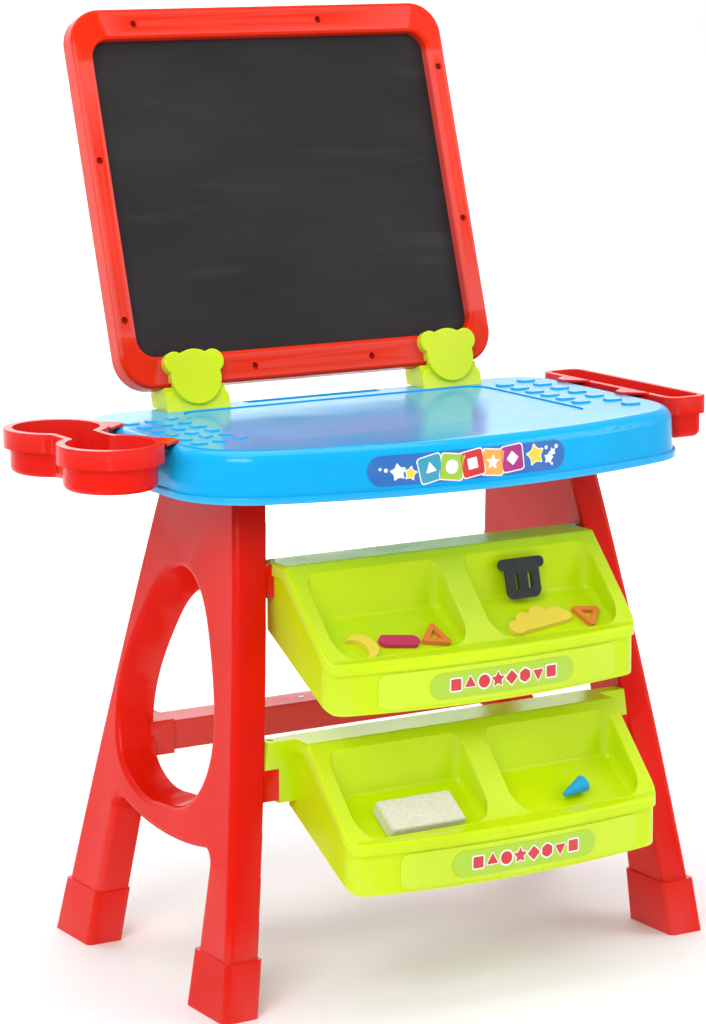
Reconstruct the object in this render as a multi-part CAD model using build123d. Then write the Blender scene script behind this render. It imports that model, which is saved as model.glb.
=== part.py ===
from build123d import *
import os
from math import atan2, cos, radians, sin, tan

# Kids easel: a desk on two A-shaped side legs, with a board held in two bear clamps,
# two storage trays, and a cup holder and a pencil tray hooked on the desk's sides.
# Millimetres, X to the right, Y to the back, Z up, floor at Z = 0.

# ---------- driving dimensions ----------
EDGE_GAP = 0.3             # clearance between pieces that come apart

# desk
DESK_TOP_Z = 563.0
DESK_LIP_Z = 512.0
DESK_HALF_WIDTH = 293.5
DESK_FRONT_Y = -300.0      # middle of the bowed front
DESK_BACK_Y = 60.0
DESK_FRONT_BOW = 752.0     # radius of the bowed front in plan
DESK_FRONT_CORNER = 88.0
DESK_BACK_CORNER = 60.0
DESK_WALL = 3.0
DESK_EDGE_ROUND = 13.0
LIP_HEIGHT = 7.0
LIP_PROUD = 3.0
SKIRT_DRAFT = 3.0          # degrees
RELIEF = 1.4               # height of raised shapes on the desk
PANEL_SINK = 1.2           # depth of the sunk drawing area
PANEL_HALF_WIDTH = 187.0
PANEL_FRONT_Y = -205.0
PANEL_BACK_Y = 12.0
LABEL_THICK = 0.6

# side legs
LEG_THICK = 36.0
LEG_CENTRE_X = 271.5       # middle of the leg's thickness at the floor
LEG_LEAN = 8.15            # degrees, tops lean inwards
LEG_WALL = 3.5
LEG_OUTER_ROUND = 8.0
LEG_INNER_ROUND = 3.0
HOLE_OUTER_ROUND = 6.0
HOLE_RIM = 1.045           # the wall round the hole, as a scale of the hole
LEG_CUT_Z = DESK_TOP_Z - DESK_WALL
HOLE_CENTRE = (-76.0, 255.0)
HOLE_OUTLINE = [(-76, 176), (-26, 182), (10, 206), (27, 251), (22, 305), (-4, 364), (-38, 409), (-76, 424),
                (-114, 409), (-148, 360), (-171, 303), (-179, 251), (-162, 206), (-126, 182)]
HOLE_NARROWING = 0.85      # size of the hole at the inner face over the outer face

# feet
FOOT_HEIGHT = 58.0
FOOT_FLOOR = 6.0
FOOT_WALL = 2.5

# rear cross bar
BAR_FRONT_Y = 11.0
BAR_REAR_Y = 54.0
BAR_BOTTOM_Z = 204.0
BAR_TOP_Z = 235.0
BAR_WALL = 3.0
BAR_HALF = 212.0
BAR_MIDDLE_Y = (BAR_FRONT_Y + BAR_REAR_Y) / 2

# board
BOARD_WIDTH = 456.0
BOARD_HEIGHT = 406.0
BOARD_THICK = 25.0
BOARD_CORNER = 36.0
BOARD_LEAN = 17.4          # degrees back from upright
BOARD_BOTTOM_Y = 26.7      # front bottom edge
BOARD_BOTTOM_Z = 587.3
BOARD_SHIFT_X = -9.0       # the board sits a little left of the middle
SIDE_RAIL = 22.6
TOP_RAIL = 33.0
BOTTOM_RAIL = 33.4
WINDOW_CORNER = 20.0
RAIL_JOINT = 56.0          # the corner pieces end this far from the top and bottom
RAIL_WALL = 2.4
RAIL_ROUND = 4.0
SCREW_SINK = 5.0
PANEL_THICK = 1.2
PANEL_BITE = 6.0           # how far the panels reach into the rails

# bear clamps
CLAMP_X = 157.0
CLAMP_HALF_WIDTH = 37.5
CLAMP_JAW = 8.0            # thickness of the jaw behind the board
JAW_FRONT = 4.5            # front face of the jaw before the board
HEAD_THICK = 4.5           # bear head plate

# trays
TRAY_HALF_WIDTH = 186.0
UPPER_FLANGE_Z = 437.5
TRAY_ROUND = 4.0
RIM_PROUD = 2.5            # the rim band stands this far out from the skirt
RIM_EDGES_ABOVE = 345.0
TRAY_PANEL_X = 8.0         # raised front panel and label sit right of the middle
TRAY_PANEL_PROUD = 1.3
TRAY_WALL = 2.5
TRAY_DROP = 171.5          # lower tray below the upper one
TRAY_STEP = 41.0           # and in front of it
TRAY_BOW = 1070.0
TRAY_CORNER = 24.0
CUP_HALF_DIVIDER = 14.0
CUP_OUTER_X = 170.0

# cup holder
CUP_RIM_Z = 568.0
CUP_RADIUS = 53.0
CUP_BODY_RADIUS = 46.5
CUP_HEIGHT = 45.0
CUP_X = -(DESK_HALF_WIDTH + 0.6 + CUP_RADIUS)
CUP_FRONT_Y = -154.0
CUP_REAR_Y = -34.0
CUP_WALL = 2.5
RIM_BAND = 19.0
NECK_HALF = 27.0

# pencil tray
PENCIL_RIM_Z = 565.0
PENCIL_WIDTH = 52.0
PENCIL_FRONT_Y = -198.0
PENCIL_REAR_Y = 50.0

# hooks of the cup holder and the pencil tray
HOOK_REACH = 19.0
HOOK_HALF = 24.0
HOOK_THICK = 2.6
TONGUE_DEPTH = 9.0
TONGUE_THICK = 2.4
TONGUE_HALF = 9.0
SLOT_PLAY = 0.6

# loose things in the trays
FOAM_THICK = 5.0
FLOOR_SLOPE = atan2(381 - 338, 289 - 223)
ARCH_LEAN = radians(14)

# screws
SCREW_HEAD = 3.4           # head radius
SCREW_SHANK = 1.5
SCREW_LENGTH = 14.0
HEAD_HEIGHT = 2.0

nodes = {}


def box(x0, x1, y0, y1, z0, z1):
    """A box between two corners."""
    return Pos((x0 + x1) / 2, (y0 + y1) / 2, (z0 + z1) / 2) * Box(x1 - x0, y1 - y0, z1 - z0)


def yz_face(points):
    """A flat face in the YZ plane through (y, z) points."""
    return make_face(Plane.YZ * Polyline(*points, close=True))


def x_prism(face, x0, x1):
    """A YZ face swept along X from x0 to x1."""
    return Pos(x0, 0, 0) * extrude(face, amount=x1 - x0, dir=(1, 0, 0))


def front_prism(x, z, outline):
    """An outline seen from the front, swept through the front of the desk or a tray."""
    return extrude(Plane(origin=(x, -200, z), x_dir=(1, 0, 0), z_dir=(0, -1, 0)) * outline, amount=300)


def both_sides(shape):
    """The right-hand shape and its mirror image."""
    return shape + mirror(shape, about=Plane.YZ)


def screw(place):
    """A pan-head screw; its head's underside is at the place's origin, its shank runs along -Z."""
    head = Pos(0, 0, HEAD_HEIGHT / 2) * Cylinder(SCREW_HEAD, HEAD_HEIGHT)
    head = fillet(head.edges().filter_by(GeomType.CIRCLE).sort_by(Axis.Z)[-1], 0.9)
    slot_long = Pos(0, 0, HEAD_HEIGHT) * Box(3.6, 0.9, 1.6)
    slot_short = Pos(0, 0, HEAD_HEIGHT) * Box(0.9, 3.6, 1.6)
    shank = Pos(0, 0, -SCREW_LENGTH / 2) * Cylinder(SCREW_SHANK, SCREW_LENGTH)
    return place * (head + shank - slot_long - slot_short)


def screw_hole(place, reach=8.0):
    """The hole that a screw needs: shank, head and a way in above the head."""
    shank = Pos(0, 0, -SCREW_LENGTH / 2) * Cylinder(SCREW_SHANK, SCREW_LENGTH)
    well = Pos(0, 0, reach / 2) * Cylinder(SCREW_HEAD + 0.3, reach)
    return place * (shank + well)


# ---------- desk ----------
def desk_outline(inset):
    """The desk's outline in plan: bowed front, straight sides, rounded corners."""
    half = DESK_HALF_WIDTH - inset
    back = DESK_BACK_Y - inset
    bow_radius = DESK_FRONT_BOW - inset
    bow_centre = DESK_FRONT_Y + DESK_FRONT_BOW
    front_side = bow_centre - (bow_radius ** 2 - half ** 2) ** 0.5
    front = ThreePointArc((-half, front_side), (0, bow_centre - bow_radius), (half, front_side))
    rest = Polyline((half, front_side), (half, back), (-half, back), (-half, front_side))
    face = make_face(front + rest)
    corners = face.vertices().sort_by(Axis.Y)
    face = fillet(corners[:2], DESK_FRONT_CORNER - inset)
    corners = face.vertices().group_by(Axis.Y)[-1]
    return fillet(corners, DESK_BACK_CORNER - inset)


def desk_block(inset, bottom, top, edge_round):
    """A drafted block on the desk's outline, with a rounded top edge."""
    block = extrude(Pos(0, 0, bottom) * desk_outline(inset), amount=top - bottom, taper=SKIRT_DRAFT)
    return fillet(block.edges().group_by(Axis.Z)[-1], edge_round)


def raised_key(x, y, shape):
    """One small raised shape on the desk's top."""
    if shape == 0:
        outline = RectangleRounded(17, 12, 3)
    elif shape == 1:
        outline = Circle(7.5)
    elif shape == 2:
        outline = RegularPolygon(9, 3)
    elif shape == 3:
        outline = RegularPolygon(8.5, 6)
    else:
        outline = RectangleRounded(13, 13, 1.5)
    lift = DESK_TOP_Z - 0.5
    return extrude(Pos(x, y, lift) * outline, amount=RELIEF + 0.5, taper=12)


def desk_reliefs():
    """Raised shapes: three rows on the left, two rows of keys on the right."""
    shapes = []
    for row, x in enumerate((-262.0, -237.0, -212.0)):
        for step in range(6):
            shapes.append(raised_key(x, -178.0 + 29.0 * step + 4.0 * row, (row + step) % 5))
    for x, first_y, pitch, count in ((208.0, -155.0, 29.0, 6), (246.0, -192.0, 33.0, 7)):
        for step in range(count):
            key = Pos(x, first_y + pitch * step, DESK_TOP_Z - 0.5) * RectangleRounded(20, 15, 5)
            shapes.append(extrude(key, amount=RELIEF + 0.9, taper=10))
    return shapes


def drawing_area():
    """The sunk drawing area, with a deeper groove around it."""
    middle_y = (PANEL_FRONT_Y + PANEL_BACK_Y) / 2
    width = 2 * PANEL_HALF_WIDTH
    depth = PANEL_BACK_Y - PANEL_FRONT_Y
    floor_z = DESK_TOP_Z - PANEL_SINK
    area = extrude(RectangleRounded(width, depth, 22), amount=PANEL_SINK + 1)
    ring_face = RectangleRounded(width, depth, 22) - RectangleRounded(width - 5, depth - 5, 19.5)
    ring = Pos(0, 0, -0.8) * extrude(ring_face, amount=2.0)
    return Pos(0, middle_y, floor_z) * (area + ring)


def back_groove():
    """The pencil groove between the clamps."""
    return Pos(-9, 36, DESK_TOP_Z + 2) * fillet(Box(166, 17, 12).edges(), 5.5)


def slot_in_desk(side, y):
    """The slot that a hook's tongue drops into."""
    x = side * hook_tongue_x()
    play = TONGUE_THICK / 2 + SLOT_PLAY
    return box(x - play, x + play, y - TONGUE_HALF - SLOT_PLAY, y + TONGUE_HALF + SLOT_PLAY,
               DESK_TOP_Z - 20, DESK_TOP_Z + 5)


def hook_tongue_x():
    """Distance of a hook's tongue from the middle of the desk."""
    return DESK_HALF_WIDTH - HOOK_REACH + TONGUE_THICK / 2 + 1.0


HOOK_YS_LEFT = (CUP_FRONT_Y, CUP_REAR_Y)
HOOK_YS_RIGHT = (-130.0, -20.0)


def leg_screw_places(side):
    """Two screws through each desk socket into the leg's top, from the outside."""
    places = []
    for y in (-118.0, -48.0):
        z = DESK_LIP_Z + 34.0
        x = leg_x(z, LEG_THICK / 2 + DESK_WALL)
        tilt = 90.0 - LEG_LEAN
        places.append(Location((side * x, y, z), (0, side * tilt, 0)))
    return places


def leg_x(z, outward):
    """X of a plane in the leaning leg, a given distance outward from its middle plane."""
    return LEG_CENTRE_X - z * tan(radians(LEG_LEAN)) + outward / cos(radians(LEG_LEAN))


def build_desk(leg_envelope):
    """The desk: a drafted shell with a lip, leg sockets, reliefs, slots and screw holes."""
    shell = desk_block(LIP_PROUD, DESK_LIP_Z + LIP_HEIGHT - 1.0, DESK_TOP_Z, DESK_EDGE_ROUND)
    lip = extrude(Pos(0, 0, DESK_LIP_Z) * desk_outline(0), amount=LIP_HEIGHT)
    lip = fillet(lip.edges().group_by(Axis.Z)[-1], 1.5)
    inner = desk_block(LIP_PROUD + DESK_WALL, DESK_LIP_Z - 1.0, DESK_TOP_Z - DESK_WALL,
                       DESK_EDGE_ROUND - DESK_WALL)
    desk = shell + lip - inner
    socket_half = LEG_THICK / 2 + DESK_WALL
    socket = lean(x_prism(leg_face(-DESK_WALL), -socket_half, socket_half))
    socket &= box(0, 400, -400, 300, DESK_LIP_Z + 8, LEG_CUT_Z + 0.5)
    desk += both_sides(socket)
    desk += box(-97, 79, 24, 49, DESK_TOP_Z - 9, DESK_TOP_Z - 1)
    for shape in desk_reliefs():
        desk += shape
    desk -= drawing_area()
    desk -= back_groove()
    desk -= both_sides(leg_envelope)
    for side, hook_ys in ((-1, HOOK_YS_LEFT), (1, HOOK_YS_RIGHT)):
        for y in hook_ys:
            desk -= slot_in_desk(side, y)
        for place in leg_screw_places(side):
            desk -= screw_hole(place, 30.0)
    for place in clamp_screw_places():
        desk -= screw_hole(place, 30.0)
    return desk


def build_desk_label():
    """A thin label on the bowed front of the skirt."""
    low = DESK_LIP_Z + LIP_HEIGHT - 1.0
    skin = desk_block(LIP_PROUD - LABEL_THICK, low, DESK_TOP_Z, DESK_EDGE_ROUND)
    core = desk_block(LIP_PROUD, low, DESK_TOP_Z, DESK_EDGE_ROUND)
    return (skin - core) & front_prism(-20, 538, SlotOverall(228, 30))


# ---------- legs and feet ----------
def leg_face(inset):
    """The A-shaped side view of a leg without its tear-drop hole, drawn in by an inset."""
    front = ThreePointArc((-268 + inset, -10), (-228 + inset, 243), (-152 + inset, 575))
    rear = ThreePointArc((105 - inset, -10), (53 - inset, 245), (-30 - inset, 575))
    top = Line((-152 + inset, 575), (-30 - inset, 575))
    face = make_face(front + top + rear + Line((105 - inset, -10), (-268 + inset, -10)))
    arch = make_face(Polyline((8 + inset, 166 + inset), (33 + inset, -20), (-196 - inset, -20),
                              (-198 - inset, 157 + inset))
                     + ThreePointArc((-198 - inset, 157 + inset), (-85, 149 + inset),
                                     (8 + inset, 166 + inset)))
    upper_corners = arch.vertices().filter_by(lambda point: point.Y > 100)
    return Plane.YZ * (face - fillet(upper_corners, 14 + inset))


def hole_face(scale):
    """The tear-drop hole, scaled about its middle."""
    centre_y, centre_z = HOLE_CENTRE
    outline = [(centre_y + scale * (y - centre_y), centre_z + scale * (z - centre_z)) for y, z in HOLE_OUTLINE]
    return Plane.YZ * make_face(Spline(*outline, periodic=True))


def lean(shape):
    """Stand a right-hand leg's upright shape at its splay."""
    return Pos(LEG_CENTRE_X, 0, 0) * Rot(0, -LEG_LEAN, 0) * shape


def tray_ledges():
    """Ledges on the right leg's inner face that the trays' ends rest on."""
    upper = box(176, 197, -186, -171, 402, UPPER_FLANGE_Z - TRAY_WALL)
    lower = box(203.5, 225, -228, -198, 206, 238)
    lower = fillet(lower.edges().filter_by(Axis.Y).group_by(Axis.X)[0], 3)
    return upper + lower


def bar_socket():
    """Block on the leg's inner face that takes the cross bar's end."""
    z_mid = (BAR_BOTTOM_Z + BAR_TOP_Z) / 2
    return box(196, leg_x(z_mid, -LEG_THICK / 2) + 3, BAR_FRONT_Y - 3, BAR_REAR_Y + 1,
               BAR_BOTTOM_Z - 3, BAR_TOP_Z + 3)


def bar_envelope():
    """The whole space that the cross bar takes up."""
    return box(-BAR_HALF, BAR_HALF, BAR_FRONT_Y, BAR_REAR_Y, BAR_BOTTOM_Z, BAR_TOP_Z)


def upright_leg():
    """A leg's solid form before it is leaned, with rounded edges and without its hole."""
    half = LEG_THICK / 2
    body = x_prism(leg_face(0), -half, half)
    body = fillet(body.edges().group_by(Axis.X)[-1], LEG_OUTER_ROUND)
    return fillet(body.edges().group_by(Axis.X)[0], LEG_INNER_ROUND)


def build_leg(solid_leg):
    """The right-hand leg: hollow, open at the feet, with ledges and a bar socket."""
    half = LEG_THICK / 2
    wide = Pos(half + 2, 0, 0) * hole_face(1.0)
    narrow = Pos(-half - 2, 0, 0) * hole_face(HOLE_NARROWING)
    body = solid_leg - loft([wide, narrow])
    body = fillet(body.edges().group_by(Axis.X)[-1].filter_by(GeomType.BSPLINE), HOLE_OUTER_ROUND)
    hollow = x_prism(leg_face(LEG_WALL), -half + LEG_WALL, half - LEG_WALL)
    hollow -= x_prism(hole_face(HOLE_RIM), -half, half)
    inside = half - LEG_WALL
    hollow += box(-inside, inside, -264, -200, -30, 0) + box(-inside, inside, 36, 101, -30, 0)
    hollow &= box(-60, 60, -400, 300, -60, LEG_CUT_Z - 3)
    leg = lean(body - hollow)
    outside = lean(box(half - 0.5, 200, -400, 300, -100, 700))
    leg += (tray_ledges() + bar_socket()) - outside
    leg -= bar_envelope()
    for place in leg_screw_places(1) + [tray_screw_place(1, False), tray_screw_place(1, True)]:
        leg -= screw_hole(place)
    return leg & box(0, 400, -400, 300, FOOT_FLOOR, LEG_CUT_Z)


def build_foot(front, leg_envelope):
    """A cap over one end of the right-hand leg."""
    half = LEG_THICK / 2 + FOOT_WALL
    if front:
        side_view = [(-272, -10), (-269.5, 0), (-262.5, 70), (-193.5, 70), (-191, 0), (-191, -10)]
    else:
        side_view = [(27, -10), (27, 0), (19.5, 70), (92, 70), (106, 0), (108, -10)]
    block = lean(x_prism(yz_face(side_view), -half, half))
    block &= box(0, 400, -400, 300, 0, FOOT_HEIGHT)
    upright = block.edges().filter_by(lambda edge: abs(edge.tangent_at(0).Z) > 0.9)
    block = fillet(upright, 6)
    block = fillet(block.edges().group_by(Axis.Z)[-1], 1.0)
    return block - leg_envelope


# ---------- rear cross bar ----------
def bar_screw_places():
    """Two screws down through the bar into its stiffener."""
    return [Location((x, BAR_MIDDLE_Y, BAR_TOP_Z - 1.6)) for x in (-27.0, 27.0)]


def build_bar():
    """A channel with its open side down and cross ribs."""
    bar = bar_envelope()
    bar = fillet(bar.edges().filter_by(Axis.X).group_by(Axis.Z)[-1], 3)
    bar -= box(-BAR_HALF + BAR_WALL, BAR_HALF - BAR_WALL, BAR_FRONT_Y + BAR_WALL,
               BAR_REAR_Y - BAR_WALL, BAR_BOTTOM_Z - 1, BAR_TOP_Z - BAR_WALL)
    for x in (-150.0, -100.0, 100.0, 150.0):
        bar += box(x - 1, x + 1, BAR_FRONT_Y + 1, BAR_REAR_Y - 1, BAR_BOTTOM_Z + 2, BAR_TOP_Z - 1)
    for place in bar_screw_places():
        bar -= screw_hole(place)
    return bar


def build_bar_stiffener():
    """A block inside the channel's middle that the bar's screws bite into."""
    block = box(-50, 50, BAR_FRONT_Y + BAR_WALL, BAR_REAR_Y - BAR_WALL, BAR_BOTTOM_Z + 8, BAR_TOP_Z - BAR_WALL)
    for x in (-39.0, -13.0, 13.0, 39.0):
        block -= box(x - 7, x + 7, BAR_FRONT_Y + 6, BAR_REAR_Y - 6, BAR_BOTTOM_Z, BAR_TOP_Z - 8)
    for place in bar_screw_places():
        block -= screw_hole(place)
    return block


# ---------- trays ----------
def tray_plan(inset):
    """A tray's outline in plan, with a bowed front."""
    half = TRAY_HALF_WIDTH - inset
    radius = TRAY_BOW - inset
    centre = -314.0 + TRAY_BOW
    side_y = centre - (radius ** 2 - half ** 2) ** 0.5
    front = ThreePointArc((-half, side_y), (0, centre - radius), (half, side_y))
    back = -169.0 - inset
    rest = Polyline((half, side_y), (half, back), (-half, back), (-half, side_y))
    face = make_face(front + rest)
    return fillet(face.vertices().group_by(Axis.Y)[0], TRAY_CORNER - inset)


def tray_solid(inset, drop):
    """The tray's outer form: level strip at the back, rim sloping to the bowed front."""
    top = UPPER_FLANGE_Z - drop
    side_view = [(-100, top), (-211.5 + 0.44 * drop, top), (-291, 354 - 1.45 * drop),
                 (-340, 352 - drop), (-340, 200), (-100, 200)]
    half = TRAY_HALF_WIDTH - inset
    form = x_prism(yz_face(side_view), -half, half)
    return form & extrude(Pos(0, 0, 100) * tray_plan(inset), amount=500)


def tray_outer():
    """The tray's outside: a rim band that stands proud of the skirt below it."""
    form = tray_solid(0, 0)
    rim = form.edges().filter_by(lambda edge: edge.center().Z > RIM_EDGES_ABOVE)
    form = fillet(rim.filter_by(lambda edge: edge.center().Y < -172), TRAY_ROUND)
    skirt_view = [(-100, 500), (-340, 500), (-340, 295), (-292, 302), (-169, 368), (-100, 368)]
    skirt = x_prism(yz_face(skirt_view), -TRAY_HALF_WIDTH, TRAY_HALF_WIDTH)
    skirt &= extrude(Pos(0, 0, 100) * tray_plan(RIM_PROUD), amount=500)
    band_view = [(-100, 500), (-340, 500), (-340, 342), (-293, 342), (-206, 424), (-100, 424)]
    band = x_prism(yz_face(band_view), -TRAY_HALF_WIDTH, TRAY_HALF_WIDTH)
    return form & (skirt + band)


def tray_skin(inner, outer):
    """A thin skin that follows the tray's outline, between two distances outside it."""
    return extrude(Pos(0, 0, 250) * (tray_plan(-outer) - tray_plan(-inner)), amount=150)


def tray_cup(outset):
    """The right-hand compartment, open along the sloping rim."""
    side_view = [(-216.5 + outset, 470), (-223 + outset, 381 - outset),
                 (-289 - 0.3 * outset, 338 - outset), (-297 - outset, 470)]
    cup = x_prism(yz_face(side_view), CUP_HALF_DIVIDER - outset, CUP_OUTER_X + outset)
    upright = cup.edges().filter_by(Axis.X, reverse=True).filter_by(lambda edge: edge.center().Z > 380)
    cup = fillet(upright.filter_by(lambda edge: edge.center().Y > -225), 12 + outset)
    upright = cup.edges().filter_by(Axis.X, reverse=True).filter_by(lambda edge: edge.center().Y < -290)
    cup = fillet(upright.filter_by(lambda edge: edge.center().Z < 460), 22 + outset)
    return fillet(cup.edges().filter_by(lambda edge: edge.center().Z < 383), 8 + outset)


def tray_screw_place(side, lower):
    """The screw through a tray's end into the leg's ledge."""
    if lower:
        return Location((side * 209.0, -220.0, 246.0))
    return Location((side * 182.0, -178.5, UPPER_FLANGE_Z))


def build_tray(lower, leg):
    """One storage tray with two compartments and, on the lower one, an arm to each leg."""
    hollow = tray_solid(TRAY_WALL + RIM_PROUD, TRAY_WALL) - both_sides(tray_cup(TRAY_WALL))
    tray = tray_outer() - hollow - both_sides(tray_cup(0))
    panel = front_prism(TRAY_PANEL_X, 321, RectangleRounded(284, 36, 8))
    tray += tray_skin(-RIM_PROUD, TRAY_PANEL_PROUD - RIM_PROUD) & panel
    if lower:
        tray = Pos(0, -TRAY_STEP, -TRAY_DROP) * tray
        arm = box(180, 225, -228, -212, 238, 266) + box(180, 203.5, -228, -212, 203, 240)
        arm &= lean(box(-80, -LEG_THICK / 2, -300, 0, 0, 500))
        arm -= screw_hole(tray_screw_place(1, True), 30.0)
        tray += both_sides(arm - Pos(0, -TRAY_STEP, -TRAY_DROP) * (tray_cup(0)))
    else:
        for side in (-1, 1):
            tray -= screw_hole(tray_screw_place(side, False))
    return tray - both_sides(leg)


def build_tray_label(lower):
    """A thin round-ended label on the tray's raised front panel."""
    skin = tray_skin(TRAY_PANEL_PROUD - RIM_PROUD, TRAY_PANEL_PROUD - RIM_PROUD + LABEL_THICK)
    label = skin & front_prism(TRAY_PANEL_X, 321, SlotOverall(172, 26))
    if lower:
        label = Pos(0, -TRAY_STEP, -TRAY_DROP) * label
    return label


# ---------- board ----------
BOARD_PLANE = Plane(origin=(BOARD_SHIFT_X, BOARD_BOTTOM_Y, BOARD_BOTTOM_Z), x_dir=(1, 0, 0),
                    z_dir=(0, -cos(radians(BOARD_LEAN)), sin(radians(BOARD_LEAN))))
CLAMP_PLANE = Plane(origin=(0, BOARD_BOTTOM_Y, BOARD_BOTTOM_Z), x_dir=(1, 0, 0),
                    z_dir=BOARD_PLANE.z_dir)


def board_rect(outset, corner):
    """A rounded rectangle around the window, grown by outset."""
    width = BOARD_WIDTH - 2 * SIDE_RAIL + 2 * outset
    height = BOARD_HEIGHT - TOP_RAIL - BOTTOM_RAIL + 2 * outset
    middle = BOTTOM_RAIL + (BOARD_HEIGHT - TOP_RAIL - BOTTOM_RAIL) / 2
    return Pos(0, middle) * RectangleRounded(width, height, corner)


def frame_screw_places():
    """Screws through the rails: half go in from the front, the mirrored half from the back."""
    points = [(-153.0, 389.0), (72.0, 389.0), (-72.0, 15.0), (72.0, 15.0)]
    points += [(-217.0, 244.0), (-217.0, 74.0), (217.0, 332.0), (217.0, 160.0)]
    places = [Location((u, v, -SCREW_SINK)) for u, v in points]
    for u, v in points:
        if abs(u) != 72.0 or v > 100:
            places.append(Location((-u, v, SCREW_SINK - BOARD_THICK), (180, 0, 0)))
    return places


def build_frame():
    """Eight half shells around the panels: front and back, top, bottom, left and right."""
    outer = Pos(0, BOARD_HEIGHT / 2) * RectangleRounded(BOARD_WIDTH, BOARD_HEIGHT, BOARD_CORNER)
    ring = extrude(outer, amount=-BOARD_THICK) - extrude(board_rect(0, WINDOW_CORNER), amount=-BOARD_THICK)
    ring = fillet(ring.edges().group_by(Axis.Z)[0] + ring.edges().group_by(Axis.Z)[-1], RAIL_ROUND)
    inner = Pos(0, BOARD_HEIGHT / 2) * RectangleRounded(
        BOARD_WIDTH - 2 * RAIL_WALL, BOARD_HEIGHT - 2 * RAIL_WALL, BOARD_CORNER - RAIL_WALL)
    hollow_face = inner - board_rect(PANEL_BITE + 1.5, WINDOW_CORNER + PANEL_BITE)
    hollow = Pos(0, 0, -RAIL_WALL) * extrude(hollow_face, amount=-(BOARD_THICK - 2 * RAIL_WALL))
    slot = Pos(0, 0, -BOARD_THICK / 2 - PANEL_THICK) * extrude(
        board_rect(PANEL_BITE, WINDOW_CORNER + PANEL_BITE), amount=2 * PANEL_THICK)
    ring = ring - hollow - slot
    for place in frame_screw_places():
        ring += Pos(place.position.X, place.position.Y, -BOARD_THICK / 2) * Cylinder(5, BOARD_THICK - 3)
    for place in frame_screw_places():
        ring -= screw_hole(place)
    big = BOARD_WIDTH
    bands = {"top": box(-big, big, BOARD_HEIGHT - RAIL_JOINT, 2 * big, -50, 50),
             "bottom": box(-big, big, -big, RAIL_JOINT, -50, 50),
             "left": box(-big, 0, RAIL_JOINT, BOARD_HEIGHT - RAIL_JOINT, -50, 50),
             "right": box(0, big, RAIL_JOINT, BOARD_HEIGHT - RAIL_JOINT, -50, 50)}
    halves = {"front": box(-big, big, -big, 2 * big, -BOARD_THICK / 2, 10),
              "back": box(-big, big, -big, 2 * big, -BOARD_THICK - 10, -BOARD_THICK / 2)}
    pieces = {}
    for face_name, half in halves.items():
        for band_name, band in bands.items():
            pieces[f"frame_{face_name}_{band_name}"] = BOARD_PLANE.location * (ring & half & band)
    return pieces


def build_panels():
    middle = -BOARD_THICK / 2
    face = board_rect(PANEL_BITE, WINDOW_CORNER + PANEL_BITE)
    chalk = Pos(0, 0, middle) * extrude(face, amount=PANEL_THICK)
    white = Pos(0, 0, middle) * extrude(face, amount=-PANEL_THICK)
    return BOARD_PLANE.location * chalk, BOARD_PLANE.location * white


# ---------- bear clamps ----------
def clamp_screw_places():
    """Two screws up from under the desk into each clamp's base."""
    under = DESK_TOP_Z - DESK_WALL
    return [Location((side * CLAMP_X + step, 40.0, under), (180, 0, 0))
            for side in (-1, 1) for step in (-22.0, 22.0)]


def build_clamp(side):
    """A clamp's base with its slot, and the bear's head plate on its front."""
    u = CLAMP_HALF_WIDTH
    low = box(-u + 2, u - 2, -40, -EDGE_GAP, -BOARD_THICK - CLAMP_JAW, EDGE_GAP)
    rear = box(-u + 3, u - 3, -5, 22, -BOARD_THICK - CLAMP_JAW, -BOARD_THICK - EDGE_GAP)
    rear = fillet(rear.edges().filter_by(Axis.Z).group_by(Axis.Y)[-1], 6)
    jaw = Pos(0, -15) * Rectangle(54, 37)
    for lobe in (-1, 1):
        jaw += Pos(lobe * 26.5, -15.5) * Circle(11) + Pos(lobe * 26.5, -30) * Rectangle(22, 26)
    front = Pos(0, 0, EDGE_GAP) * extrude(jaw, amount=JAW_FRONT - EDGE_GAP)
    front = fillet(front.edges().group_by(Axis.Z)[-1], 1.5)
    base = low + rear + front
    head = Pos(0, 8) * Circle(29.5) + Pos(0, 16) * RectangleRounded(54, 24, 8)
    for ear in (-1, 1):
        head += Pos(ear * 22.5, 23.5) * Circle(12.5)
    plate = Pos(0, 0, JAW_FRONT) * extrude(head, amount=HEAD_THICK)
    plate = fillet(plate.edges().group_by(Axis.Z)[-1], 1.6)
    backing = Pos(0, 0, EDGE_GAP) * extrude(head, amount=JAW_FRONT - EDGE_GAP)
    plate += backing & box(-60, 60, 4, 60, -5, 10)
    where = Pos(side * CLAMP_X, 0, 0) * CLAMP_PLANE.location
    below_desk_top = box(-400, 400, -400, 400, 0, DESK_TOP_Z)
    base = where * base - below_desk_top
    plate = where * plate - below_desk_top
    for place in clamp_screw_places():
        base -= screw_hole(place)
    return base, plate


# ---------- hook-on cup holder and pencil tray ----------
def hook(side, y, x_rim):
    """A pointed tab over the desk's edge with a tongue that drops into its slot."""
    tip = DESK_HALF_WIDTH - HOOK_REACH
    z0 = DESK_TOP_Z + EDGE_GAP
    outline = make_face(Polyline((x_rim, y - HOOK_HALF), (tip, y - 6), (tip, y + 6),
                                 (x_rim, y + HOOK_HALF), close=True))
    tab = extrude(Pos(0, 0, z0) * outline, amount=HOOK_THICK)
    x = hook_tongue_x()
    tongue = box(x - TONGUE_THICK / 2, x + TONGUE_THICK / 2, y - TONGUE_HALF, y + TONGUE_HALF,
                 z0 - TONGUE_DEPTH, z0 + 1)
    shape = tab + tongue
    if side < 0:
        shape = mirror(shape, about=Plane.YZ)
    return shape


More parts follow.
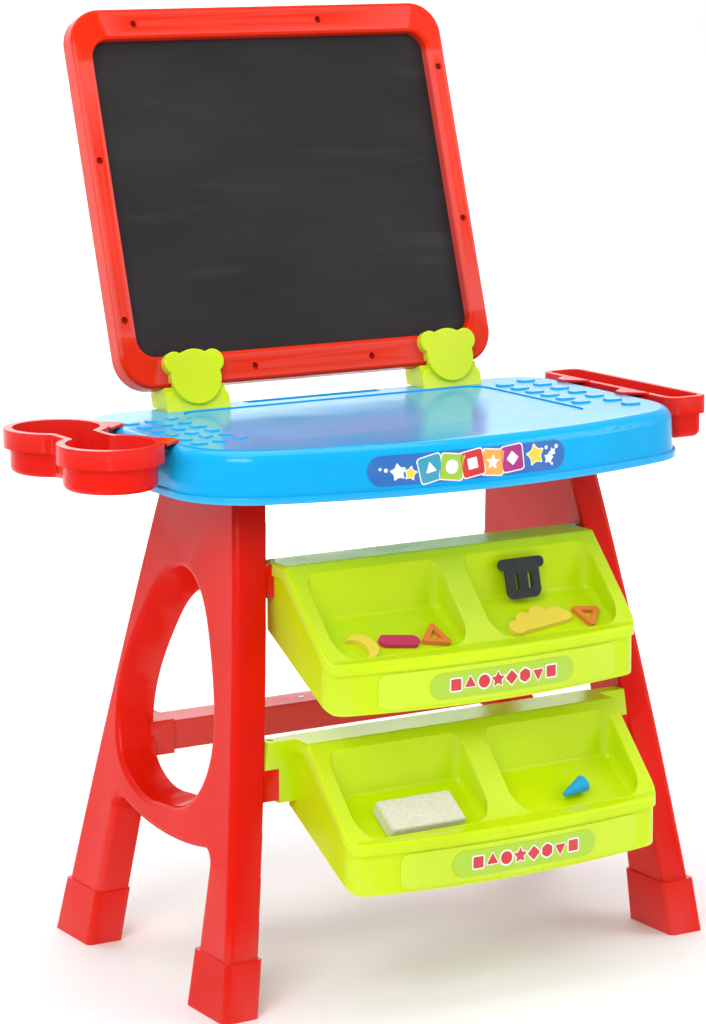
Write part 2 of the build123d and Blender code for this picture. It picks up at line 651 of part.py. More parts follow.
def cup_outline(radius, neck):
    """Two round cups joined by a neck."""
    middle = (CUP_FRONT_Y + CUP_REAR_Y) / 2
    shape = Pos(CUP_X, CUP_FRONT_Y) * Circle(radius) + Pos(CUP_X, CUP_REAR_Y) * Circle(radius)
    shape += Pos(CUP_X, middle) * Rectangle(2 * neck, 60)
    waist = shape.vertices().filter_by(lambda point: abs(point.X - CUP_X) < radius - 4)
    return fillet(waist, 9)


def build_cup_holder():
    top = CUP_RIM_Z
    bottom = CUP_RIM_Z - CUP_HEIGHT
    body = extrude(Pos(0, 0, bottom) * cup_outline(CUP_BODY_RADIUS, NECK_HALF - 4), amount=CUP_HEIGHT)
    body = fillet(body.edges().group_by(Axis.Z)[0], 7)
    band = extrude(Pos(0, 0, top - RIM_BAND) * cup_outline(CUP_RADIUS, NECK_HALF), amount=RIM_BAND)
    band = fillet(band.edges().group_by(Axis.Z)[-1], 1.2)
    body += band
    inner_radius = CUP_BODY_RADIUS - CUP_WALL
    inside = extrude(Pos(0, 0, bottom + CUP_WALL) * cup_outline(inner_radius, NECK_HALF - 4 - CUP_WALL),
                     amount=CUP_HEIGHT)
    inside = fillet(inside.edges().group_by(Axis.Z)[0], 5)
    body -= inside
    for y in HOOK_YS_LEFT:
        body += hook(-1, y, DESK_HALF_WIDTH + 4) - inside
    return body


def build_pencil_tray():
    x0 = DESK_HALF_WIDTH + 0.6
    middle_x = x0 + PENCIL_WIDTH / 2
    middle_y = (PENCIL_FRONT_Y + PENCIL_REAR_Y) / 2
    length = PENCIL_REAR_Y - PENCIL_FRONT_Y
    centre = Pos(middle_x, middle_y, 0)

    def outline(inset, corner):
        return centre * RectangleRounded(PENCIL_WIDTH - 2 * inset, length - 2 * inset, corner)

    bottom = PENCIL_RIM_Z - CUP_HEIGHT
    body = extrude(Pos(0, 0, bottom) * outline(4.5, 12), amount=CUP_HEIGHT)
    body = fillet(body.edges().group_by(Axis.Z)[0], 8)
    band = extrude(Pos(0, 0, PENCIL_RIM_Z - RIM_BAND) * outline(0, 15), amount=RIM_BAND)
    band = fillet(band.edges().group_by(Axis.Z)[-1], 1.2)
    inside = extrude(Pos(0, 0, bottom + CUP_WALL) * outline(4.5 + CUP_WALL, 9.5), amount=CUP_HEIGHT)
    inside = fillet(inside.edges().group_by(Axis.Z)[0], 5.5)
    body = body + band - inside
    for y in HOOK_YS_RIGHT:
        body += hook(1, y, DESK_HALF_WIDTH + 4) - inside
    return body


# ---------- loose things in the trays ----------
FLOOR_PLANE = Plane(origin=(0, -223, 381), x_dir=(1, 0, 0), z_dir=(0, -sin(FLOOR_SLOPE), cos(FLOOR_SLOPE)))


def in_tray(shape, x, down, lift, turn, lower):
    """Lay a shape on a compartment's sloping floor, a distance down the slope from its back."""
    placed = FLOOR_PLANE.location * Pos(x, -down, lift + EDGE_GAP) * Rot(0, 0, turn) * shape
    if lower:
        placed = Pos(0, -TRAY_STEP, -TRAY_DROP) * placed
    return placed


def build_eraser():
    """A soft chalk eraser lying on the floor of the lower tray."""
    block = Pos(0, 0, 8) * Box(86, 40, 16)
    return in_tray(fillet(block.edges(), 3), -88, 44, 0, 0, True)


def build_cone():
    """A small cone with a rounded tip, lying on its side."""
    profile = make_face(Polyline((0, 0), (9, 0), (2.5, 30), (0, 30), close=True))
    cone = revolve(Plane.XZ * profile, Axis.Z)
    cone = fillet(cone.edges().group_by(Axis.Z)[-1], 1.5)
    lying = Pos(15, 0, 9) * Rot(0, -90, 0) * cone
    return in_tray(lying, 96, 46, 0.5, 20, True)


def foam_outline(kind):
    """A plain shape cut from foam sheet."""
    if kind == "cloud":
        outline = Rectangle(62, 16)
        for x, y, radius in ((-30, 0, 9), (-14, 6, 11), (6, 8, 12), (26, 4, 10), (34, -1, 7)):
            outline += Pos(x, y) * Circle(radius)
        return outline
    if kind == "arch":
        outline = Pos(0, 20) * RectangleRounded(40, 40, 9) + Pos(0, 36) * SlotOverall(54, 12)
        for x in (-8, 8):
            outline -= Pos(x, 18) * SlotOverall(18, 5, rotation=90)
        return outline
    if kind == "ring":
        outer = fillet(RegularPolygon(20, 3).vertices(), 3)
        return outer - RegularPolygon(9, 3)
    if kind == "bar":
        return SlotOverall(44, 14)
    return Circle(17) - Pos(9, 5) * Circle(14)


FOAM_PIECES = {
    "foam_cloud": ("cloud", 84, 44, 8),
    "foam_ring": ("ring", 145, 42, 20),
    "foam_bar": ("bar", -84, 44, -10),
    "foam_triangle": ("ring", -42, 44, 75),
    "foam_moon": ("moon", -128, 46, 170),
}


def build_foam(name):
    """One foam piece lying flat on the floor of the upper tray."""
    kind, x, down, turn = FOAM_PIECES[name]
    return in_tray(extrude(foam_outline(kind), amount=FOAM_THICK), x, down, 0, turn, False)


def build_foam_arch():
    """The foam piece that leans on the back wall of the upper tray's right compartment."""
    piece = extrude(foam_outline("arch"), amount=FOAM_THICK)
    upright = Plane(origin=(82, -236, 380), x_dir=(1, 0, 0), z_dir=(0, -cos(ARCH_LEAN), sin(ARCH_LEAN)))
    return upright.location * piece


# ---------- assembly ----------
def assemble():
    """Build every piece and keep it under its node name."""
    solid_leg = upright_leg()
    envelope = lean(solid_leg) & box(0, 400, -400, 300, FOOT_FLOOR, LEG_CUT_Z)
    right_leg = build_leg(solid_leg)
    nodes["right_leg"] = right_leg
    nodes["left_leg"] = mirror(right_leg, about=Plane.YZ)
    for end, is_front in (("front", True), ("rear", False)):
        foot = build_foot(is_front, envelope)
        nodes[f"{end}_right_foot"] = foot
        nodes[f"{end}_left_foot"] = mirror(foot, about=Plane.YZ)
    nodes["desk_top"] = build_desk(envelope)
    nodes["desk_label"] = build_desk_label()
    nodes["rear_cross_bar"] = build_bar()
    nodes["cross_bar_stiffener"] = build_bar_stiffener()
    for level, is_lower in (("upper", False), ("lower", True)):
        nodes[f"{level}_tray"] = build_tray(is_lower, right_leg)
        nodes[f"{level}_tray_label"] = build_tray_label(is_lower)
    nodes.update(build_frame())
    nodes["chalkboard_panel"], nodes["whiteboard_panel"] = build_panels()
    for name, side in (("left", -1), ("right", 1)):
        nodes[f"{name}_clamp_base"], nodes[f"{name}_clamp_bear"] = build_clamp(side)
    nodes["cup_holder"] = build_cup_holder()
    nodes["pencil_tray"] = build_pencil_tray()
    nodes["chalk_eraser"] = build_eraser()
    nodes["small_cone"] = build_cone()
    for name in FOAM_PIECES:
        nodes[name] = build_foam(name)
    nodes["foam_arch"] = build_foam_arch()
    screws = {"frame_screws": [BOARD_PLANE.location * place for place in frame_screw_places()],
              "leg_screws": leg_screw_places(-1) + leg_screw_places(1),
              "clamp_screws": clamp_screw_places(),
              "cross_bar_screws": bar_screw_places(),
              "tray_screws": [tray_screw_place(side, low) for side in (-1, 1) for low in (False, True)]}
    for name, places in screws.items():
        nodes[name] = Compound(children=[screw(place) for place in places])


assemble()
limits = [shape.bounding_box() for shape in nodes.values()]
shift_x = -(min(b.min.X for b in limits) + max(b.max.X for b in limits)) / 2
shift_y = -(min(b.min.Y for b in limits) + max(b.max.Y for b in limits)) / 2
os.makedirs("parts", exist_ok=True)
for name, shape in nodes.items():
    solids = shape.solids()
    placed = [Pos(shift_x, shift_y, 0) * solid for solid in solids]
    export_step(placed[0] if len(placed) == 1 else Compound(children=placed), f"parts/{name}.step")
print("shift", round(shift_x, 3), round(shift_y, 3))
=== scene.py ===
from math import cos, pi, radians, sin

import bpy
import bmesh
from mathutils import Matrix, Vector
from mathutils.bvhtree import BVHTree


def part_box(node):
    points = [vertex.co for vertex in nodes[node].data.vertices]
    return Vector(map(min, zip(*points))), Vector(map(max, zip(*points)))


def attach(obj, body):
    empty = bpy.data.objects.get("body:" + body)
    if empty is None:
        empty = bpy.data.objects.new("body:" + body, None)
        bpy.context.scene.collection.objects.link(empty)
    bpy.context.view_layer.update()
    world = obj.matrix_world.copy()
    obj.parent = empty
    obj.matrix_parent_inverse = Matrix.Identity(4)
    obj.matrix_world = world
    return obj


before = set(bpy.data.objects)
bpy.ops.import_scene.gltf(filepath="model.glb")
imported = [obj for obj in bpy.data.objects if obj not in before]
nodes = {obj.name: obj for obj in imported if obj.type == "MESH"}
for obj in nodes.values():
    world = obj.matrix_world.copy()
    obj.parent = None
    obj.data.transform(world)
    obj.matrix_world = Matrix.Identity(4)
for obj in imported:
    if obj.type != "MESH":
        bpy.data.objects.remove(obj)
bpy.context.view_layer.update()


# ---------- material building blocks ----------
def material(name):
    """A new material, with its node tree and its Principled shader."""
    mat = bpy.data.materials.new(name)
    mat.use_nodes = True
    tree = mat.node_tree
    shader = next(n for n in tree.nodes if n.type == "BSDF_PRINCIPLED")
    return mat, tree, shader


def node(tree, kind, inputs=(), **props):
    """Add a node, set its properties, then its inputs: values are set, sockets are linked."""
    new = tree.nodes.new(kind)
    for key, value in props.items():
        setattr(new, key, value)
    for key, value in inputs:
        if isinstance(value, bpy.types.NodeSocket):
            tree.links.new(value, new.inputs[key])
        else:
            new.inputs[key].default_value = value
    return new


def object_coords(tree):
    """The object's own coordinates, in metres."""
    return node(tree, "ShaderNodeTexCoord").outputs["Object"]


def noise(tree, coords, scale, detail=2.0, stretch=None):
    """Noise in metres, optionally stretched along the axes."""
    if stretch:
        coords = node(tree, "ShaderNodeMapping", (("Vector", coords), ("Scale", stretch))).outputs["Vector"]
    made = node(tree, "ShaderNodeTexNoise", (("Vector", coords), ("Scale", scale), ("Detail", detail)))
    return made.outputs["Fac"]


def remap(tree, value, low, high, to_low, to_high):
    """Stretch a value's range onto another, clamped."""
    made = node(tree, "ShaderNodeMapRange", (("Value", value), ("From Min", low), ("From Max", high),
                                             ("To Min", to_low), ("To Max", to_high)))
    return made.outputs["Result"]


def mix(tree, factor, a, b):
    """Mix two colours."""
    made = node(tree, "ShaderNodeMix", data_type="RGBA")
    for index, value in ((0, factor), (6, a), (7, b)):
        if isinstance(value, bpy.types.NodeSocket):
            tree.links.new(value, made.inputs[index])
        elif index:
            made.inputs[index].default_value = (*value, 1.0)
        else:
            made.inputs[index].default_value = value
    return made.outputs[2]


def bump(tree, height, distance, strength=1.0, onto=None):
    """A bumped normal from a height, on top of another normal if one is given."""
    inputs = [("Height", height), ("Distance", distance), ("Strength", strength)]
    if onto is not None:
        inputs.append(("Normal", onto))
    return node(tree, "ShaderNodeBump", tuple(inputs)).outputs["Normal"]


def shade(colour, factor):
    """The colour made darker or lighter."""
    return tuple(max(0.0, min(1.0, c * factor)) for c in colour)


def moulded(name, colour, rough=(0.16, 0.30), coat=0.03, wave=0.0005, grain=0.00002, glow=0.0, gleam=0.24):
    """Glossy moulded plastic: uneven gloss, sink marks, fine grain, pale rubbed edges and hairlines."""
    mat, tree, shader = material(name)
    coords = object_coords(tree)
    cloud = remap(tree, noise(tree, coords, 6.0, 3.0), 0.35, 0.65, 0.0, 1.0)
    base = mix(tree, cloud, shade(colour, 0.93), shade(colour, 1.05))
    specks = remap(tree, noise(tree, coords, 420.0, 1.0), 0.70, 0.78, 0.0, 0.12)
    base = mix(tree, specks, base, shade(colour, 0.7))
    edge = remap(tree, node(tree, "ShaderNodeNewGeometry").outputs["Pointiness"], 0.52, 0.60, 0.0, 0.22)
    pale = tuple(0.75 * c + 0.25 for c in colour)
    base = mix(tree, edge, base, pale)
    tree.links.new(base, shader.inputs["Base Color"])
    smear = noise(tree, coords, 14.0, 4.0, (1.0, 1.0, 0.35))
    gloss = remap(tree, smear, 0.3, 0.7, rough[0], rough[1])
    tree.links.new(gloss, shader.inputs["Roughness"])
    slow = bump(tree, noise(tree, coords, 9.0, 1.0), wave * 4)
    fine = bump(tree, noise(tree, coords, 1400.0, 1.0), grain, 1.0, slow)
    hair = noise(tree, coords, 60.0, 2.0, (1.0, 14.0, 1.0))
    lines = remap(tree, hair, 0.66, 0.70, 0.0, 1.0)
    tree.links.new(bump(tree, lines, -0.00002, 0.6, fine), shader.inputs["Normal"])
    shader.inputs["IOR"].default_value = 1.48
    shader.inputs["Specular IOR Level"].default_value = gleam
    shader.inputs["Coat Weight"].default_value = coat
    shader.inputs["Coat Roughness"].default_value = 0.08
    if glow:
        shader.inputs["Subsurface Weight"].default_value = glow
        shader.inputs["Subsurface Radius"].default_value = (0.012, 0.014, 0.003)
        shader.inputs["Subsurface Scale"].default_value = 0.5
    return mat


def printed(name, colour, dots=0.10):
    """Printed film: flat ink with a fine screen of dots under a clear skin."""
    mat, tree, shader = material(name)
    coords = object_coords(tree)
    cells = node(tree, "ShaderNodeTexVoronoi", (("Vector", coords), ("Scale", 1100.0))).outputs["Distance"]
    screen = remap(tree, cells, 0.2, 0.5, 0.0, dots)
    base = mix(tree, screen, colour, shade(colour, 0.75))
    fade = remap(tree, noise(tree, coords, 30.0), 0.35, 0.7, 0.0, 0.10)
    base = mix(tree, fade, base, tuple(0.8 * c + 0.2 for c in colour))
    tree.links.new(base, shader.inputs["Base Color"])
    tree.links.new(remap(tree, noise(tree, coords, 45.0), 0.3, 0.7, 0.28, 0.42), shader.inputs["Roughness"])
    tree.links.new(bump(tree, noise(tree, coords, 700.0), 0.00001), shader.inputs["Normal"])
    shader.inputs["Coat Weight"].default_value = 0.3
    shader.inputs["Coat Roughness"].default_value = 0.15
    return mat


def chalkboard(name):
    """Dark writing surface: fine tooth, wiped chalk haze and faint stroke ghosts."""
    mat, tree, shader = material(name)
    coords = object_coords(tree)
    haze = remap(tree, noise(tree, coords, 5.0, 5.0, (1.0, 2.6, 2.6)), 0.42, 0.75, 0.0, 0.28)
    strokes = remap(tree, noise(tree, coords, 26.0, 3.0, (0.25, 1.0, 1.6)), 0.60, 0.72, 0.0, 0.10)
    base = mix(tree, haze, (0.026, 0.023, 0.024), (0.060, 0.056, 0.057))
    base = mix(tree, strokes, base, (0.13, 0.125, 0.125))
    grit = remap(tree, noise(tree, coords, 1500.0, 2.0), 0.4, 0.7, 0.0, 0.25)
    base = mix(tree, grit, base, (0.010, 0.009, 0.010))
    tree.links.new(base, shader.inputs["Base Color"])
    tree.links.new(remap(tree, noise(tree, coords, 8.0, 4.0), 0.3, 0.7, 0.50, 0.66), shader.inputs["Roughness"])
    tree.links.new(bump(tree, noise(tree, coords, 1800.0, 2.0), 0.00004), shader.inputs["Normal"])
    shader.inputs["Specular IOR Level"].default_value = 0.12
    return mat


def whiteboard(name):
    """White marker board: near-mirror gloss with faint ink ghosts."""
    mat, tree, shader = material(name)
    coords = object_coords(tree)
    ghost = remap(tree, noise(tree, coords, 7.0, 4.0, (1.0, 2.0, 2.0)), 0.55, 0.8, 0.0, 0.14)
    base = mix(tree, ghost, (0.74, 0.75, 0.76), (0.54, 0.58, 0.65))
    tree.links.new(base, shader.inputs["Base Color"])
    tree.links.new(remap(tree, noise(tree, coords, 20.0, 3.0), 0.3, 0.7, 0.10, 0.22), shader.inputs["Roughness"])
    tree.links.new(bump(tree, noise(tree, coords, 500.0), 0.00002), shader.inputs["Normal"])
    return mat


def foam(name, colour):
    """Closed-cell foam sheet: soft, matt and finely pitted."""
    mat, tree, shader = material(name)
    coords = object_coords(tree)
    pits = node(tree, "ShaderNodeTexVoronoi", (("Vector", coords), ("Scale", 1500.0))).outputs["Distance"]
    # painted shade: the colour is darkened inside the pits, where the bump makes dimples
    base = mix(tree, remap(tree, pits, 0.0, 0.35, 0.45, 0.0), colour, shade(colour, 0.6))
    tree.links.new(base, shader.inputs["Base Color"])
    tree.links.new(remap(tree, noise(tree, coords, 60.0), 0.3, 0.7, 0.72, 0.9), shader.inputs["Roughness"])
    tree.links.new(bump(tree, pits, 0.00015, 0.8), shader.inputs["Normal"])
    shader.inputs["Sheen Weight"].default_value = 0.15
    return mat


def felt(name, colour):
    """Pressed felt: tangled fibres with a soft sheen."""
    mat, tree, shader = material(name)
    coords = object_coords(tree)
    fibres = noise(tree, coords, 700.0, 6.0, (1.0, 0.3, 1.0))
    cross = noise(tree, coords, 650.0, 6.0, (0.3, 1.0, 0.6))
    both = node(tree, "ShaderNodeMath", ((0, fibres), (1, cross)), operation="MAXIMUM").outputs[0]
    base = mix(tree, remap(tree, both, 0.45, 0.75, 0.0, 1.0), shade(colour, 0.82), shade(colour, 1.08))
    dust = remap(tree, noise(tree, coords, 40.0, 4.0), 0.5, 0.75, 0.0, 0.35)
    tree.links.new(mix(tree, dust, base, (0.80, 0.78, 0.74)), shader.inputs["Base Color"])
    tree.links.new(bump(tree, both, 0.0005, 0.8), shader.inputs["Normal"])
    shader.inputs["Roughness"].default_value = 0.95
    shader.inputs["Sheen Weight"].default_value = 0.5
    return mat


def zinc(name):
    """Zinc-plated screw steel: brushed, slightly mottled."""
    mat, tree, shader = material(name)
    coords = object_coords(tree)
    patches = remap(tree, noise(tree, coords, 260.0, 3.0), 0.4, 0.6, 0.0, 1.0)
    tree.links.new(mix(tree, patches, (0.42, 0.42, 0.44), (0.62, 0.61, 0.58)), shader.inputs["Base Color"])
    tree.links.new(remap(tree, noise(tree, coords, 900.0), 0.3, 0.7, 0.22, 0.40), shader.inputs["Roughness"])
    tree.links.new(bump(tree, noise(tree, coords, 1200.0, 2.0, (6.0, 1.0, 1.0)), 0.00003), shader.inputs["Normal"])
    shader.inputs["Metallic"].default_value = 1.0
    return mat


# ---------- materials on the CAD nodes ----------
RED = (0.74, 0.008, 0.001)
FRAME_RED = (0.80, 0.022, 0.001)
CUP_RED = (0.76, 0.008, 0.001)
LIME = (0.59, 0.78, 0.002)
CLAMP_LIME = (0.68, 0.80, 0.012)
BLUE = (0.0, 0.41, 0.82)

finish = {
    "leg": moulded("leg_red", RED, gleam=0.12),
    "frame": moulded("frame_red", FRAME_RED, rough=(0.20, 0.32), gleam=0.12),
    "cup": moulded("cup_red", CUP_RED, gleam=0.14),
    "lime": moulded("tray_lime", LIME, rough=(0.18, 0.30), glow=0.25),
    "clamp": moulded("clamp_lime", CLAMP_LIME, glow=0.2),
    "desk": moulded("desk_blue", BLUE, rough=(0.12, 0.22), coat=0.1, wave=0.0003),
    "desk_label": printed("label_blue", (0.010, 0.14, 0.50)),
    "tray_label": printed("label_green", (0.42, 0.66, 0.020)),
    "chalk": chalkboard("chalkboard_dark"),
    "white": whiteboard("whiteboard_white"),
    "steel": zinc("screw_zinc"),
    "felt": felt("eraser_felt", (0.80, 0.76, 0.60)),
    "cone": moulded("cone_blue", (0.02, 0.36, 0.72), rough=(0.25, 0.4)),
    "foam_yellow": foam("foam_yellow", (0.95, 0.70, 0.05)),
    "foam_dark": foam("foam_dark", (0.020, 0.022, 0.022)),
    "foam_red": foam("foam_red", (0.62, 0.02, 0.10)),
    "foam_orange": foam("foam_orange", (0.86, 0.22, 0.02)),
    # painted shade: the frame screw heads are coloured as the shaded dark red of their recesses, not the screws'
    # own colour
    "screw_shade_red": moulded("screw_painted_shade", (0.30, 0.008, 0.004), rough=(0.3, 0.45)),
}

NODE_FINISH = {
    "desk_top": "desk", "desk_label": "desk_label", "upper_tray_label": "tray_label",
    "lower_tray_label": "tray_label", "chalkboard_panel": "chalk", "whiteboard_panel": "white",
    "cup_holder": "cup", "pencil_tray": "cup", "chalk_eraser": "felt", "small_cone": "cone",
    "foam_cloud": "foam_yellow", "foam_moon": "foam_yellow", "foam_arch": "foam_dark",
    "foam_ring": "foam_orange", "foam_triangle": "foam_orange", "foam_bar": "foam_red",
    "frame_screws": "screw_shade_red",
}


def finish_for(name):
    """The finish of a CAD node, by its name."""
    if name in NODE_FINISH:
        return finish[NODE_FINISH[name]]
    if name.endswith("_screws"):
        return finish["steel"]
    if name.startswith("frame_"):
        return finish["frame"]
    if "clamp" in name:
        return finish["clamp"]
    return finish["lime"] if name.endswith("_tray") else finish["leg"]


for name, item in nodes.items():
    look = finish_for(name)
    for index in range(len(item.material_slots)):
        item.material_slots[index].material = look


# ---------- printed shapes on the labels ----------
PLATE_THICK = 0.0001
LOW, MIDDLE, HIGH = 0.00005, 0.00015, 0.00025    # lifts of stacked plates off the label


def surface(name):
    """The CAD node's mesh, ready for rays."""
    item = nodes[name]
    return BVHTree.FromObject(item, bpy.context.evaluated_depsgraph_get())


def star_points(outer, inner):
    """A five-pointed star's outline."""
    outline = []
    for step in range(10):
        radius = outer if step % 2 == 0 else inner
        angle = radians(90.0 + 36.0 * step)
        outline.append((radius * cos(angle), radius * sin(angle)))
    return outline


def polygon(radius, sides, turn=90.0):
    """A regular polygon's outline; many sides make a disc."""
    angles = [radians(turn) + 2 * pi * k / sides for k in range(sides)]
    return [(radius * cos(angle), radius * sin(angle)) for angle in angles]


def rounded(outline, radius, steps=5):
    """The outline with its corners rounded."""
    result = []
    count = len(outline)
    for k in range(count):
        corner = Vector(outline[k])
        before = (Vector(outline[k - 1]) - corner)
        after = (Vector(outline[(k + 1) % count]) - corner)
        reach = min(radius, 0.45 * before.length, 0.45 * after.length)
        start = corner + before.normalized() * reach
        end = corner + after.normalized() * reach
        for step in range(steps + 1):
            t = step / steps
            result.append(tuple((1 - t) ** 2 * start + 2 * t * (1 - t) * corner + t * t * end))
    return result


def square(half):
    """A square's outline, from half its side."""
    return [(-half, -half), (half, -half), (half, half), (-half, half)]


def plate(name, tree, at, outline, lift, look, turn=0.0):
    """A thin plate lying on the front of a surface at (x, z), in metres; the outline is in millimetres."""
    x, z = at
    hit, normal, _, _ = tree.ray_cast(Vector((x, -2.0, z)), Vector((0.0, 1.0, 0.0)))
    right = Vector((0.0, 0.0, 1.0)).cross(normal).normalized()
    up = normal.cross(right)
    spin = radians(turn)
    base = hit + normal * lift
    work = bmesh.new()
    front = []
    for px, pz in outline:
        u = (px * cos(spin) - pz * sin(spin)) / 1000
        v = (px * sin(spin) + pz * cos(spin)) / 1000
        front.append(work.verts.new(base + right * u + up * v + normal * PLATE_THICK))
    back = [work.verts.new(vert.co - normal * PLATE_THICK) for vert in front]
    work.faces.new(front)
    work.faces.new(reversed(back))
    count = len(front)
    for k in range(count):
        work.faces.new((front[k], back[k], back[(k + 1) % count], front[(k + 1) % count]))
    bmesh.ops.recalc_face_normals(work, faces=work.faces)
    bmesh.ops.triangulate(work, faces=[f for f in work.faces if len(f.verts) > 4])
    mesh = bpy.data.meshes.new(name)
    work.to_mesh(mesh)
    work.free()
    item = bpy.data.objects.new(name, mesh)
    item.data.materials.append(look)
    bpy.context.collection.objects.link(item)
    return item


def decorate(item):
    """Let a plate ride on the easel."""
    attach(item, "easel")


ink = {
    "white": printed("ink_white", (0.86, 0.88, 0.90), 0.03),
    "teal": printed("ink_teal", (0.02, 0.34, 0.50)),
    "green": printed("ink_green", (0.36, 0.58, 0.03)),
    "red": printed("ink_red", (0.66, 0.02, 0.02)),
    "orange": printed("ink_orange", (0.86, 0.42, 0.06)),
    "magenta": printed("ink_magenta", (0.42, 0.01, 0.22)),
    "yellow": printed("ink_yellow", (0.90, 0.66, 0.02)),
}

DISC = polygon(1.0, 32)


def scaled(outline, k):
    """The outline made k times as large."""
    return [(k * x, k * y) for x, y in outline]




def label_point(name, dx, dz):
    """The place on a label's front that is (dx, dz) millimetres from its middle."""
    low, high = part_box(name)
    return (low[0] + high[0]) / 2 + dx / 1000, (low[2] + high[2]) / 2 + dz / 1000


TILE_STEP = 23.6
TILE_EDGE, TILE_FACE = rounded(square(13.8), 4.4), rounded(square(12.5), 3.8)
desk_tree = surface("desk_label")
tile_shapes = [
    ("teal", polygon(4.6, 3), 12.0, -1.0),
    ("green", polygon(4.6, 32), -7.0, -1.0),
    ("red", square(3.6), 9.0, 0.5),
    ("orange", star_points(5.4, 2.5), -6.0, -0.5),
    ("magenta", polygon(4.8, 4), 5.0, 1.5),
]
for index, (colour, shape, turn, rise) in enumerate(tile_shapes):
    at = label_point("desk_label", TILE_STEP * (index - 2) + 0.2, rise)
    layers = [("edge", TILE_EDGE, LOW, "white"), ("face", TILE_FACE, MIDDLE, colour),
              ("shape", rounded(scaled(shape, 1.55), 1.0), HIGH, "white")]
    for layer, outline, lift, look in layers:
        decorate(plate(f"tile_{index}_{layer}", desk_tree, at, outline, lift, ink[look], turn))

label_stars = [
    (-82.0, -2.0, 10.0, "white", 8.0), (-69.0, -4.0, 8.5, "white", -10.0), (-69.0, -4.0, 6.6, "yellow", -10.0),
    (76.0, 2.0, 13.0, "white", 10.0), (76.0, 2.0, 11.0, "yellow", 10.0), (93.0, -3.0, 7.0, "white", -12.0),
    (98.0, 3.0, 5.0, "white", 20.0),
]
for index, (dx, dz, size, colour, turn) in enumerate(label_stars):
    outline = rounded(star_points(size, size * 0.52), size * 0.25)
    lift = MIDDLE if colour == "yellow" else LOW
    decorate(plate(f"label_star_{index}", desk_tree, label_point("desk_label", dx, dz), outline,
                   lift, ink[colour], turn))

label_dots = [(-101.0, 2.0, 1.6), (-95.0, 0.5, 2.1), (-61.0, 6.0, 1.8),
              (90.0, 8.0, 2.0), (103.0, 8.0, 2.2), (97.0, -9.0, 1.5)]
for index, (dx, dz, size) in enumerate(label_dots):
    decorate(plate(f"label_dot_{index}", desk_tree, label_point("desk_label", dx, dz), scaled(DISC, size),
                   LOW, ink["white"]))

SIGN_START, SIGN_STEP = -57.0, 16.3
sign_shapes = [square(4.2), polygon(5.4, 3), scaled(DISC, 4.8), star_points(6.0, 2.9), polygon(5.4, 4),
               polygon(5.2, 6), polygon(5.4, 3, -90.0), square(4.2)]
for level in ("upper", "lower"):
    tray_tree = surface(f"{level}_tray_label")
    for index, shape in enumerate(sign_shapes):
        at = label_point(f"{level}_tray_label", SIGN_START + SIGN_STEP * index, 0.0)
        edge = rounded(scaled(shape, 1.75), 2.8)
        face = rounded(scaled(shape, 1.38), 1.4)
        for layer, outline, lift, look in (("edge", edge, LOW, "white"), ("face", face, MIDDLE, "red")):
            decorate(plate(f"{level}_sign_{index}_{layer}", tray_tree, at, outline, lift, ink[look]))


# ---------- floor, light and camera ----------
FLOOR_FRONT_Y, FLOOR_REAR_Y, FLOOR_HALF = -6.0, 4.0, 9.0
CURVE_RADIUS = 2.0
BACKDROP_TOP = 8.0


def stage_floor():
    """A large pale floor that curves up behind the object."""
    work = bmesh.new()
    profile = [(FLOOR_FRONT_Y, 0.0), (FLOOR_REAR_Y, 0.0)]
    for angle in (radians(degree) for degree in range(10, 91, 10)):
        profile.append((FLOOR_REAR_Y + CURVE_RADIUS * sin(angle), CURVE_RADIUS - CURVE_RADIUS * cos(angle)))
    profile.append((FLOOR_REAR_Y + CURVE_RADIUS, BACKDROP_TOP))
    rows = []
    for x in (-FLOOR_HALF, FLOOR_HALF):
        rows.append([work.verts.new((x, y, z)) for y, z in profile])
    for k in range(len(profile) - 1):
        work.faces.new((rows[0][k], rows[1][k], rows[1][k + 1], rows[0][k + 1]))
    mesh = bpy.data.meshes.new("floor")
    work.to_mesh(mesh)
    work.free()
    for face in mesh.polygons:
        face.use_smooth = True
    floor = bpy.data.objects.new("floor", mesh)
    bpy.context.collection.objects.link(floor)
    mat, tree, shader = material("floor_pale")
    coords = object_coords(tree)
    tone = remap(tree, noise(tree, coords, 2.0, 3.0), 0.3, 0.7, 0.0, 1.0)
    tree.links.new(mix(tree, tone, (0.90, 0.90, 0.90), (0.93, 0.93, 0.93)), shader.inputs["Base Color"])
    shader.inputs["Roughness"].default_value = 0.85
    floor.data.materials.append(mat)


stage_floor()


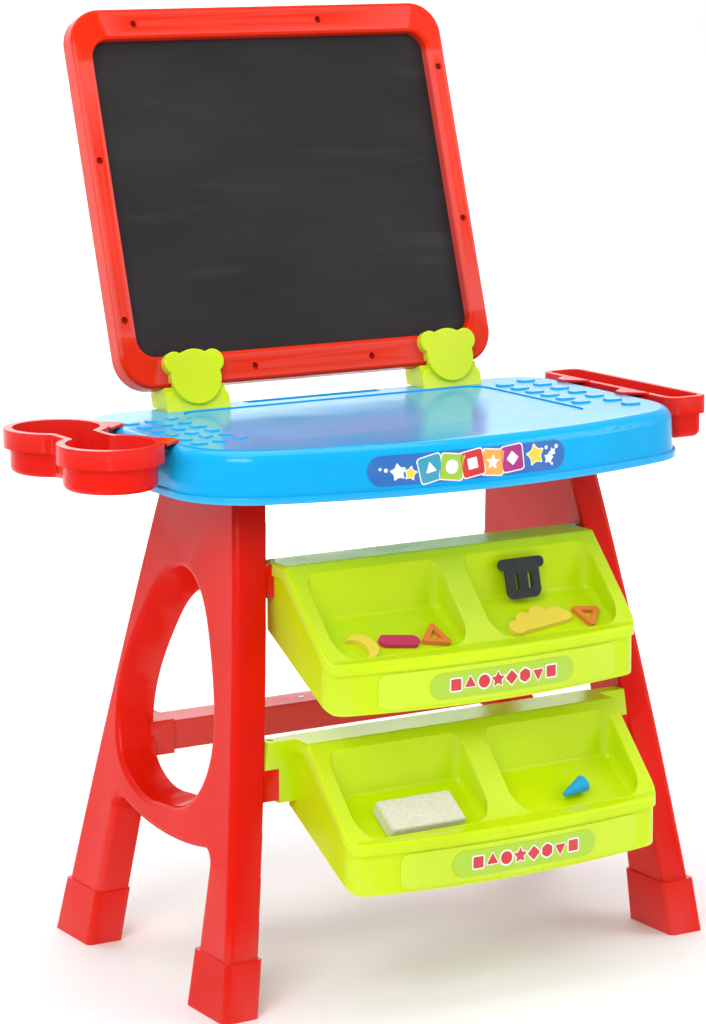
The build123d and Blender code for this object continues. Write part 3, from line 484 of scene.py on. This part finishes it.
def area_light(name, place, target, size, power):
    """A soft box at a place, pointed at a target."""
    lamp = bpy.data.lights.new(name, "AREA")
    lamp.shape = "RECTANGLE"
    lamp.size, lamp.size_y = size
    lamp.energy = power
    item = bpy.data.objects.new(name, lamp)
    item.location = place
    item.rotation_euler = (Vector(target) - Vector(place)).to_track_quat("-Z", "Y").to_euler()
    bpy.context.collection.objects.link(item)


area_light("key", (-2.6, -2.4, 2.8), (0.0, -0.1, 0.5), (2.0, 2.0), 84.0)
area_light("fill", (3.0, -2.2, 1.8), (0.0, 0.0, 0.5), (2.2, 2.2), 36.0)
area_light("top", (0.0, 0.4, 3.4), (0.0, 0.0, 0.4), (3.0, 3.0), 52.0)
area_light("back", (1.5, 3.0, 2.2), (0.0, 0.0, 0.5), (2.4, 2.0), 22.0)
area_light("backdrop", (0.0, 1.8, 3.4), (0.0, 5.8, 1.8), (5.0, 1.5), 260.0)

world = bpy.data.worlds.new("studio")
world.use_nodes = True
bpy.context.scene.world = world
sky = world.node_tree.nodes["Background"]
sky.inputs["Color"].default_value = (1.0, 1.0, 1.0, 1.0)
sky.inputs["Strength"].default_value = 0.55

CAMERA_PLACE = (-1.7475, -2.9064, 1.0863)
AZIMUTH, ELEVATION, ROLL = radians(-31.07), radians(9.84), -0.0037
SENSOR_HEIGHT = 36.0
FOCAL_LENGTH = 116.374
SHIFT_X, SHIFT_Y = -0.009570, -0.036816
away = Vector((sin(AZIMUTH) * cos(ELEVATION), -cos(AZIMUTH) * cos(ELEVATION), sin(ELEVATION)))
right = Vector((0, 0, 1)).cross(away).normalized()
up = away.cross(right)
turned_right = right * cos(ROLL) + up * sin(ROLL)
turned_up = up * cos(ROLL) - right * sin(ROLL)
lens = bpy.data.cameras.new("camera")
lens.sensor_fit = "VERTICAL"
lens.sensor_height = SENSOR_HEIGHT
lens.lens = FOCAL_LENGTH
lens.shift_x = SHIFT_X
lens.shift_y = SHIFT_Y
camera = bpy.data.objects.new("camera", lens)
camera.matrix_world = Matrix.Translation(CAMERA_PLACE) @ Matrix(
    (turned_right, turned_up, away)).transposed().to_4x4()
bpy.context.collection.objects.link(camera)
bpy.context.scene.camera = camera
bpy.context.scene.view_settings.view_transform = "Standard"
